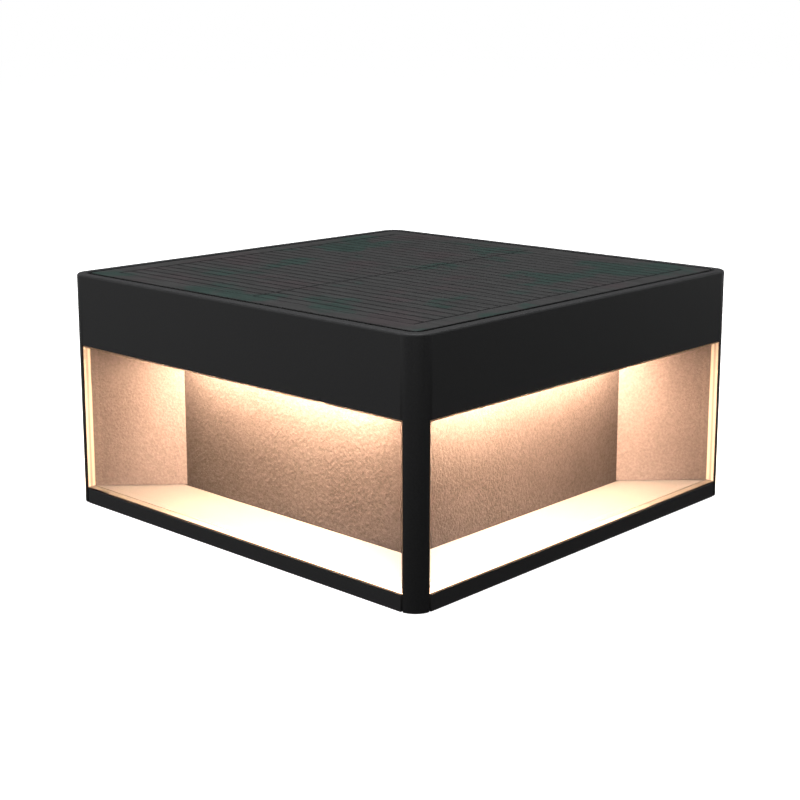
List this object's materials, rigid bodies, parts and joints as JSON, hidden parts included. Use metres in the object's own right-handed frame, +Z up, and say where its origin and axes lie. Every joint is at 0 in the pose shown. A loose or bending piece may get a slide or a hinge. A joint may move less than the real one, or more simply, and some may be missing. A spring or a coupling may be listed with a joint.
{
  "type": "solar bollard light head",
  "caption": "Low square solar lamp head: a dark cast cap on corner legs, clear sides, and a lit sand-textured reflector with a recessed push switch beneath.",
  "frame": {"origin": "centre of the underside, on the surface that the lamp stands on", "axes": "+Z up; -Y is the front side, +X the right side; all four sides look the same"},
  "size_m": [0.2, 0.2, 0.1],
  "materials": {
    "powder_coat": "matte",
    "solar_laminate": "satin",
    "sand_paint": "matte",
    "white_paint": "satin",
    "clear_pane": "gloss",
    "opal_cover": "satin",
    "light_board": "satin",
    "circuit_board": "satin",
    "battery_wrap": "satin",
    "black_plastic": "matte",
    "zinc_steel": "satin",
    "black_rubber": "matte",
    "cable_sleeve": "satin"
  },
  "bodies": {
    "lamp": {"top_housing": "powder_coat", "base_plate": "powder_coat", "lamp_carrier": "powder_coat", "solar_panel": "solar_laminate", "reflector_column": "sand_paint", "floor_plate": "white_paint", "window_pane_front": "clear_pane", "window_pane_right": "clear_pane", "window_pane_back": "clear_pane", "window_pane_left": "clear_pane", "light_cover_front": "opal_cover", "light_cover_right": "opal_cover", "light_cover_back": "opal_cover", "light_cover_left": "opal_cover", "light_board_front": "light_board", "light_board_right": "light_board", "light_board_back": "light_board", "light_board_left": "light_board", "controller_board": "circuit_board", "battery_cell_1": "battery_wrap", "battery_cell_2": "battery_wrap", "battery_cell_3": "battery_wrap", "battery_cell_4": "battery_wrap", "battery_tray": "black_plastic", "panel_junction_box": "black_plastic", "switch_body": "black_plastic", "clamp_screw_front_right": "zinc_steel", "clamp_screw_back_right": "zinc_steel", "clamp_screw_back_left": "zinc_steel", "clamp_screw_front_left": "zinc_steel", "board_screw_front_right": "zinc_steel", "board_screw_back_right": "zinc_steel", "board_screw_back_left": "zinc_steel", "board_screw_front_left": "zinc_steel", "switch_nut": "zinc_steel", "switch_spring": "zinc_steel", "panel_seal": "black_rubber", "base_seal": "black_rubber", "column_seal": "black_rubber", "switch_seal": "black_rubber", "lamp_cable": "cable_sleeve", "lamp_jumper_1": "cable_sleeve", "lamp_jumper_2": "cable_sleeve", "lamp_jumper_3": "cable_sleeve", "panel_cable": "cable_sleeve", "battery_cable": "cable_sleeve", "switch_cable": "cable_sleeve"},
    "button": {"switch_button": "black_rubber"}
  },
  "joints": [
    {"name": "button_press", "type": "slide", "parent": "lamp", "child": "button", "axis": [0, 0, 1], "range_m": [0, 0.0015], "stiffness_N_per_m": 500, "deforming": ["switch_spring"]}
  ]
}
